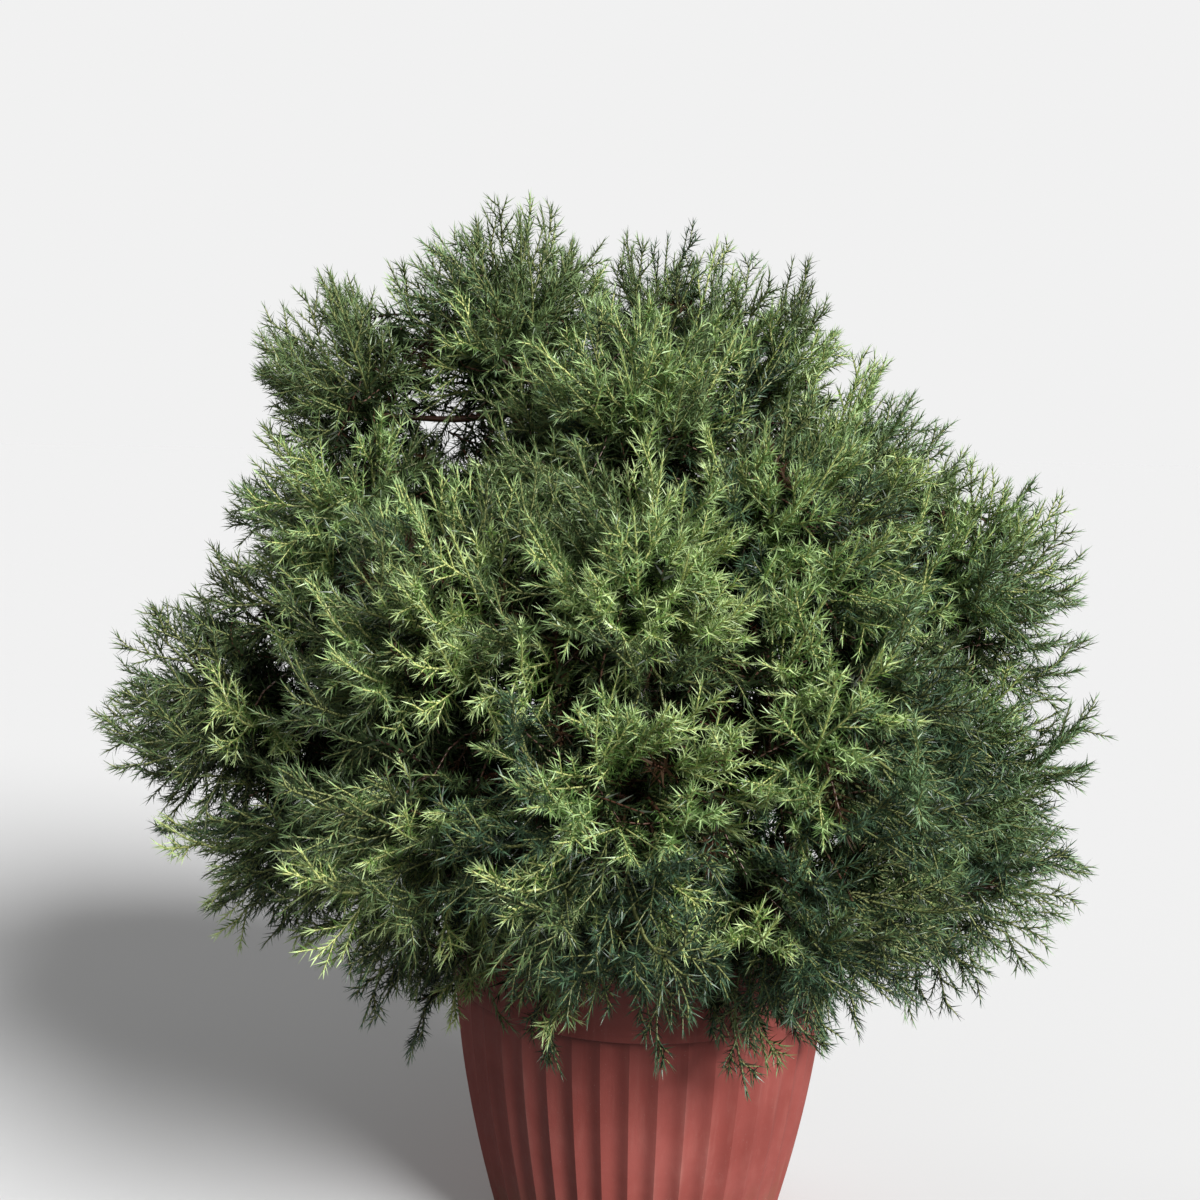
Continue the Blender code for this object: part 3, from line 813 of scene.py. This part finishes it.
def grow(spots, normals, masses, hubs, reach):
    """Leaders from the hubs to the spots, their side shoots, and the twigs on those."""
    count = len(spots)
    way = lean(spots, normals, masses)
    span = norm(spots - hubs, axis=1, keepdims=True)
    bend = hubs + 0.25 * span * unit(spots - hubs)
    bend_2 = spots - np.clip(0.75 * span, 0.10, 0.22) * way
    leaders = (hubs, bend, bend_2, spots)

    plane = normals - (normals * way).sum(axis=1, keepdims=True) * way
    plane = unit(unit(plane) + chance.normal(size=plane.shape) * 0.28)
    share = np.clip(reach / (1.15 * span[:, 0]), 0.2, 0.92)

    order = 0.92 * ((np.arange(SHOOTS) + 0.5) / SHOOTS) ** 1.25
    f = order[None] + chance.uniform(-0.25, 0.25, size=(count, SHOOTS)) / SHOOTS
    f = np.clip(f, 0.0, 1.0)
    t = 1.0 - share[:, None] * (1.0 - f)
    at, along = (v.reshape(-1, 3) for v in bezier(*leaders, t))
    flip = np.where(chance.random(count) < 0.5, 1.0, -1.0)
    side = (flip[:, None] * in_turn(SHOOTS)).reshape(-1)
    profile = np.clip(1.10 - 0.80 * f, 0.3, 1.0)
    longest = chance.uniform(*SHOOT_LENGTH, size=count) * np.clip(reach / SPRAY_REACH, 0.5, 1.1)
    length = (longest[:, None] * profile * chance.uniform(0.75, 1.1, size=f.shape)).reshape(-1)
    angle = SHOOT_ANGLE * (1.1 - 0.35 * f.reshape(-1)) + chance.normal(size=length.shape) * 0.10
    plane_1 = unit(np.repeat(plane, SHOOTS, axis=0) + chance.normal(size=at.shape) * 0.20)
    droop = np.repeat(0.25 * way, SHOOTS, axis=0)
    shoots = branch_off(at, along, plane_1, side, angle, length, droop)

    number = len(length)
    order = 0.28 + 0.68 * (np.arange(TWIGS) + 0.4) / TWIGS
    f = order[None] + chance.uniform(-0.25, 0.25, size=(number, TWIGS)) / TWIGS
    at_2, along_2 = (v.reshape(-1, 3) for v in bezier(*shoots, np.clip(f, 0.0, 0.96)))
    side_2 = (side[:, None] * in_turn(TWIGS)).reshape(-1)
    profile = np.clip(1.3 - 0.85 * f, 0.35, 1.0)
    longest = chance.uniform(*TWIG_LENGTH, size=number) * np.clip(length / 0.10, 0.35, 1.15)
    length_2 = (longest[:, None] * profile * chance.uniform(0.75, 1.2, size=f.shape)).reshape(-1)
    angle_2 = SHOOT_ANGLE + 0.02 + chance.normal(size=length_2.shape) * 0.12
    plane_2 = unit(np.repeat(plane_1, TWIGS, axis=0) + chance.normal(size=at_2.shape) * 0.24)
    droop_2 = np.repeat(droop, TWIGS, axis=0) * 0.5
    twigs = branch_off(at_2, along_2, plane_2, side_2, angle_2, length_2, droop_2)
    return leaders, shoots, twigs, share


def sampled(curves, steps, first=0.0, last=1.0):
    """Curves as lines of so many points, from the share first of each to the share last."""
    share = np.linspace(0.0, 1.0, steps)[None] + np.zeros((len(curves[0]), 1))
    first = np.reshape(first, (-1, 1))
    return off_the_pot(bezier(*curves, first + (np.reshape(last, (-1, 1)) - first) * share)[0])


# The tints the sprays are dealt, each with the place where it is most common, how far it spreads, and the
# colours of its older and its fresher tip needles. The paler tip colour is partly fresh growth and partly
# a painted highlight on the lit tips.
TINTS = (
    ("olive", (-0.28, 0.00, 1.12), 0.34, (64, 86, 46), (118, 142, 92)),
    ("meadow", (0.08, -0.20, 0.98), 0.30, (88, 120, 60), (168, 196, 132)),
    ("yellow_green", (0.02, -0.40, 0.72), 0.20, (108, 140, 70), (200, 222, 156)),
    # The next two tints, placed low on the left and at the front, are dark partly in their own colour and
    # partly as painted shade under the crown.
    ("deep_shaded", (-0.36, -0.15, 0.48), 0.30, (41, 58, 32), (95, 118, 74)),
    ("blue_green_shaded", (0.16, -0.35, 0.46), 0.32, (31, 53, 35), (73, 101, 73)),
    ("grey_green", (0.48, -0.02, 0.66), 0.30, (64, 92, 54), (126, 156, 110)),
    ("russet", (-0.15, -0.34, 0.46), 0.07, (84, 56, 38), (116, 92, 60)),
)


def plain_finish(name, colour, gloss=0.65):
    """One plain colour, for needles and twigs."""
    made = bpy.data.materials.new(name)
    made.use_nodes = True
    shader = made.node_tree.nodes["Principled BSDF"]
    shader.inputs["Base Color"].default_value = srgb(*colour)
    shader.inputs["Roughness"].default_value = 0.42
    shader.inputs["Specular IOR Level"].default_value = gloss
    return made


# Each tint gives an older colour and a paler tip colour; the tip colour is partly fresh growth and partly
# a painted highlight.
needle_finishes = [
    plain_finish("needles_" + label + age, colour)
    for label, _, _, *shades in TINTS
    for age, colour in zip(("", "_young"), shades)
]
# The dark inner needle colour is partly old needles and partly painted shade inside the crown; the brown
# one is dead needles.
needle_finishes.append(plain_finish("needles_inner", (34, 46, 24), 0.15))
needle_finishes.append(plain_finish("needles_inner_dry", (60, 43, 29), 0.15))
INNER_TONE = 2 * len(TINTS)
twig_finishes = [
    plain_finish("twigs_young", (204, 208, 134)),
    plain_finish("twigs_green", (138, 144, 90)),
    plain_finish("twigs_woody", (88, 58, 44)),
]
YOUNG, GREEN, WOODY = range(3)


def tint_spots(spots):
    """A tint for each spot, dealt by how near it is to each tint's own place."""
    weights = np.where([name == "russet" for name, *_ in TINTS], 0.002, 0.05) + np.zeros((len(spots), 1))
    for number, (_, place, spread, _, _) in enumerate(TINTS):
        weights[:, number] += np.exp(-((spots - place) ** 2).sum(axis=1) / spread ** 2)
    weights /= weights.sum(axis=1, keepdims=True)
    passed = chance.random(len(spots))[:, None] > np.cumsum(weights, axis=1)
    return passed.sum(axis=1).clip(0, len(TINTS) - 1)


def needle_tree(finishes):
    """Whorls of awl-shaped needles along lines, standing off more at the foot than at the tip."""
    tree = Tree("needles_on_lines", [
        "Spacing", "Length", "Width", "Opening", "Tip Opening", "Young And Lit From",
    ], ["Whorl", "Seed"])
    given = tree.given
    lines = tree.first("MeshToCurve", {"Mesh": given["Geometry"]})
    lines = tree.store(lines, "along", tree.node("SplineParameter").outputs["Factor"], "FLOAT")
    stations = tree.node("CurveToPoints", {"Curve": lines, "Length": given["Spacing"]}, mode="LENGTH")
    each = tree.node("DuplicateElements", {
        "Geometry": stations.outputs["Points"], "Amount": given["Whorl"],
    }, domain="POINT")
    along = tree.named("along", "FLOAT")

    def scatter(low, high, number):
        seed = tree.math("ADD", given["Seed"], float(number))
        return tree.function("RandomValue", {2: low, 3: high, "Seed": seed}, data_type="FLOAT").outputs[1]

    station = tree.math("FLOOR", tree.math("DIVIDE", tree.first("InputIndex"), given["Whorl"]))
    step = tree.math("DIVIDE", 2.0 * math.pi, given["Whorl"])
    turn = tree.times(each.outputs["Duplicate Index"], step)
    turn = tree.math("ADD", turn, tree.times(station, tree.times(step, 0.5)))
    turn = tree.math("ADD", turn, scatter(-0.22, 0.22, 1))
    near_tip = tree.shader("MapRange", {
        "Value": along, "From Min": 0.70, "From Max": 1.0,
        "To Min": given["Opening"], "To Max": given["Tip Opening"],
    }).outputs[0]
    opening = tree.math("ADD", near_tip, scatter(-0.12, 0.12, 2))
    roll = scatter(-0.9, 0.9, 3)

    def turned(rotation, axis, angle):
        by = tree.function("AxisAngleToRotation", {"Axis": axis, "Angle": angle}).outputs[0]
        inputs = {"Rotation": rotation, "Rotate By": by}
        return tree.function("RotateRotation", inputs, rotation_space="LOCAL").outputs[0]

    tangent = stations.outputs["Tangent"]
    rotation = tree.function("AlignRotationToVector", {"Vector": tangent}, axis="Z").outputs[0]
    rotation = turned(rotation, (0.0, 0.0, 1.0), turn)
    rotation = turned(rotation, (1.0, 0.0, 0.0), opening)
    rotation = turned(rotation, (0.0, 0.0, 1.0), roll)

    # The needle is an awl: one narrow triangle, stood up on its base.
    blade = tree.first("MeshCircle", {"Vertices": 3, "Radius": 1.0}, fill_type="NGON")
    at = tree.shader("SeparateXYZ", {0: tree.first("InputPosition")}).outputs
    lengthways = tree.times(tree.math("ADD", at[0], 0.5), tree.math("DIVIDE", given["Length"], 1.5))
    sideways = tree.times(at[1], tree.math("DIVIDE", given["Width"], math.sqrt(3.0)))
    stood = tree.shader("CombineXYZ", {0: sideways, 2: lengthways}).outputs[0]
    blade = tree.first("SetPosition", {"Geometry": blade, "Position": stood})

    size = tree.times(scatter(0.78, 1.15, 4), tree.shader("MapRange", {
        "Value": along, "From Min": 0.8, "From Max": 1.0, "To Min": 1.0, "To Max": 0.8,
    }).outputs[0])
    # Needles towards the tip take the paler tone: partly fresh growth, partly a painted highlight on the
    # lit tips.
    young_and_lit = tree.math("GREATER_THAN", tree.math("ADD", along, scatter(-0.2, 0.2, 5)), given["Young And Lit From"])
    tone = tree.math("ADD", tree.named("tone", "INT"), young_and_lit)
    spots = tree.store(each.outputs["Geometry"], "tone", tone, "INT")
    needles = tree.first("InstanceOnPoints", {
        "Points": spots, "Instance": blade, "Rotation": rotation, "Scale": size,
    })
    return tree.finish(needles, finishes, tree.named("tone", "INT"))


# The crown's masses and fringes, by the piece of foliage that they are made into.
PARTS = {
    "upper_left": "left_crest left_shoulder left_flank",
    "crest": "crest right_crest right_peak",
    "upper_right": "right_shoulder right_brow far_right",
    "right": "right_side right_skirt fringe_right",
    "middle": "centre front_left front_right",
    "front": "front_low front_low_left front_low_right",
    "over_rim": "front_skirt left_skirt fringe_front fringe_front_left fringe_left",
    "left": "left_lobe left_brow left_low",
    "upper_back": "back_crest back_left back_right",
    "back": "back back_low",
    "lower_back": "back_low_left back_low_right fringe_back fringe_back_left",
}

mass_part = [
    next(part for part, own in PARTS.items() if name.removeprefix("foliage_") in own.split())
    for name in MASS_NODES
]
bough_ends = wood_lines[1 + ROOTS:, -1]
mass_hubs = mass_middles - 0.5 * (mass_middles - HEART) * (
    0.16 / norm(mass_middles - HEART, axis=1, keepdims=True)).clip(0.0, 1.0)
nearest_bough = np.argmin(norm(mass_hubs[:, None] - bough_ends[None], axis=2), axis=1)

spots, normals, masses = (np.concatenate(both) for both in zip(fringe_tips(), open_spots(SPOTS_TRIED)))
spacing = np.full(len(spots), SPRAY_SPACING)
spacing[spots[:, 0] > 0.40] *= 1.15
spacing[normals[:, 2] < -0.6] *= 1.3
spacing[is_fringe[masses]] *= 1.35
kept = spread_out(spots, spacing)
tips, tip_normals, tip_masses = spots[kept], normals[kept], masses[kept]
fringe = is_fringe[tip_masses]
hubs = mass_hubs[tip_masses] + chance.normal(size=tips.shape) * 0.012
over_rim = unit(tips * (1.0, 1.0, 0.0)) * (LIP_RADIUS - 0.05) + (0.0, 0.0, POT_HEIGHT + 0.05)
hubs[fringe] = over_rim[fringe]
reach = np.where(fringe, 0.13, SPRAY_REACH) * chance.uniform(0.85, 1.1, size=len(tips))

leaders, shoots, twigs, leafy = grow(tips, tip_normals, tip_masses, hubs, reach)
tint = tint_spots(tips)

shoot_of = np.repeat(np.arange(len(tips)), SHOOTS)
twig_of = np.repeat(shoot_of, TWIGS)
leader_lines = sampled(leaders, 11)
leafy_lines = sampled(leaders, 9, 1.0 - 0.8 * leafy)
old_lines = sampled(leaders, 5, 0.25 * (1.0 - leafy), 1.0 - 0.7 * leafy)
shoot_lines = sampled(shoots, SHOOT_POINTS)
twig_lines = sampled(twigs, 2)

# A limb runs from the nearest bough's end to the hub that each mass grows from.
ends = bough_ends[nearest_bough]
limb_bend = ends + 0.4 * (mass_hubs - ends) + 0.025 * chance.normal(size=ends.shape)
limb_end = mass_hubs + 0.03 * unit(mass_hubs - ends)
limb_lines = sampled((ends, limb_bend, limb_bend, limb_end), 8)

# Dry twigs with old, dark needles close the inside of the crown, out of sight except between the sprays.
# Their needles are dark partly as old needles and partly as painted shade inside the crown.
inner_start, inner_end = inner_twigs(INNER_TWIGS)
not_fringes = np.flatnonzero(~is_fringe)
from_middles = norm(inner_start[:, None] - mass_middles[None, not_fringes], axis=2)
inner_masses = not_fringes[np.argmin(from_middles, axis=1)]
inner_bend = 0.5 * (inner_start + inner_end) + 0.01 * chance.normal(size=inner_start.shape)
inner_lines = sampled((inner_start, inner_bend, inner_bend, inner_end), 4)
inner_tone = INNER_TONE + (chance.random(len(inner_start)) < 0.12)

needles = needle_tree(needle_finishes)
wood = wood_tree(twig_finishes)


def marked(lines, tone, thick=0.001, thin=0.001):
    """Lines with the radius and the tone of each of their points, from foot to tip."""
    shape = lines.shape[:2]
    radius = np.broadcast_to(np.linspace(thick, thin, shape[1]), shape)
    return lines, radius, np.broadcast_to(tone, shape).astype(np.int32)


def joined_lines(name, groups):
    """Several arrays of marked lines in one mesh."""
    made = bmesh.new()
    for lines, radius, tone in groups:
        part = line_mesh(name, lines, {"radius": radius, "tone": tone})
        made.from_mesh(part)
        bpy.data.meshes.remove(part)
    whole = bpy.data.meshes.new(name)
    made.to_mesh(whole)
    made.free()
    return whole


place_on_leader = np.linspace(0.0, 1.0, leader_lines.shape[1])[None]
leader_tone = np.full(leader_lines.shape[:2], WOODY)
leader_tone[place_on_leader > 1.0 - 0.75 * leafy[:, None]] = GREEN
bright = np.array([name in ("meadow", "yellow_green") for name, *_ in TINTS])[tint]
stem_tone = np.where(bright, YOUNG, GREEN)[:, None]
leader_tone = np.where(place_on_leader > 1.0 - 0.35 * leafy[:, None], stem_tone, leader_tone)
shoot_tone = np.repeat(stem_tone[shoot_of], SHOOT_POINTS, axis=1)
shoot_tone[:, 0] = GREEN
tone = 2 * tint[:, None]

for part in PARTS:
    inside = np.array([p == part for p in mass_part])
    mine = inside[tip_masses]
    my_shoots = mine[shoot_of]
    my_twigs = mine[twig_of]
    my_inner = inside[inner_masses]
    bearing = joined_lines("bearing_" + part, [
        marked(leafy_lines[mine], tone[mine]),
        marked(shoot_lines[my_shoots], tone[shoot_of][my_shoots]),
        marked(twig_lines[my_twigs], tone[twig_of][my_twigs]),
    ])
    needle_piece = through(needles, "needles_" + part, bearing, {
        "Spacing": NEEDLE_SPACING, "Whorl": 3, "Length": NEEDLE_LENGTH, "Width": NEEDLE_WIDTH,
        "Opening": math.radians(52.0), "Tip Opening": math.radians(17.0), "Young And Lit From": 0.55, "Seed": 3,
    })
    # The older part of each leader and the inner twigs carry the dark inner needles, dark partly as old
    # needles and partly as painted shade.
    dry = joined_lines("dry_" + part, [
        marked(old_lines[mine], INNER_TONE),
        marked(inner_lines[my_inner], inner_tone[my_inner, None]),
    ])
    inner_piece = through(needles, "inner_needles_" + part, dry, {
        "Spacing": 0.0072, "Whorl": 4, "Length": 0.021, "Width": 0.0034,
        "Opening": math.radians(60.0), "Tip Opening": math.radians(30.0), "Young And Lit From": 9.0, "Seed": 5,
    })
    limbs = joined_lines("wood_" + part, [
        marked(leader_lines[mine], leader_tone[mine], *LEADER_RADII),
        marked(shoot_lines[my_shoots], shoot_tone[my_shoots], *SHOOT_RADII),
        marked(twig_lines[my_twigs], stem_tone[twig_of][my_twigs], *TWIG_RADII),
        marked(inner_lines[my_inner], WOODY, *INNER_TWIG_RADII),
        marked(limb_lines[inside], WOODY, *LIMB_RADII),
    ])
    twig_piece = through(wood, "twigs_" + part, limbs, {
        "Sides": 3, "Relief": 0.0, "Strips": 1.0, "Strip Length": 0.05,
    })
    covered = [name for name, own in zip(MASS_NODES, inside) if own]
    for piece, slot in ((needle_piece, "needles"), (inner_piece, "needles"), (twig_piece, "bark")):
        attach(piece, "root")
        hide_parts(*covered)


# -------------------- floor and light
# A pale studio floor, a soft pale surround, one broad light high on the front right,
# so the pot's left side stays in shade, and a weak one from behind on the left.
def studio_floor():
    size = 60.0
    mesh = bpy.data.meshes.new("studio_floor")
    corners = [(-size, -size, 0), (size, -size, 0), (size, size, 0), (-size, size, 0)]
    mesh.from_pydata(corners, [], [(0, 1, 2, 3)])
    paint = Finish("pale_floor", Roughness=0.9, Specular_IOR_Level=0.0)
    seen = paint.shader("LightPath").outputs["Is Camera Ray"]
    paint.set("Base Color", paint.mix(seen, (0.16, 0.16, 0.16, 1.0), (0.689, 0.689, 0.689, 1.0)))
    mesh.materials.append(paint.material)
    floor = link_piece("studio_floor", mesh)


def soft_sun(way, strength, softness):
    """A broad, even light that shines the given way."""
    lamp = bpy.data.lights.new("soft_sun", "SUN")
    lamp.energy = strength
    lamp.angle = softness
    made = bpy.data.objects.new("soft_sun", lamp)
    made.rotation_euler = Vector(way).to_track_quat("-Z", "Y").to_euler()
    collection.objects.link(made)


studio_floor()
soft_sun((-0.64, 0.64, -0.60), 5.4, math.radians(26.0))
soft_sun((0.60, -0.62, -0.50), 0.8, math.radians(40.0))
world = bpy.data.worlds.new("studio")
world.use_nodes = True
surround = world.node_tree.nodes["Background"]
surround.inputs[0].default_value = (1.0, 1.0, 1.0, 1.0)
to_camera = add_node(world.node_tree, "ShaderNodeLightPath").outputs["Is Camera Ray"]
strength = add_node(world.node_tree, "ShaderNodeMapRange", {
    "Value": to_camera, "To Min": 0.20, "To Max": 0.88,
})
world.node_tree.links.new(strength.outputs[0], surround.inputs[1])
bpy.context.scene.world = world
bpy.context.scene.view_settings.view_transform = "Standard"
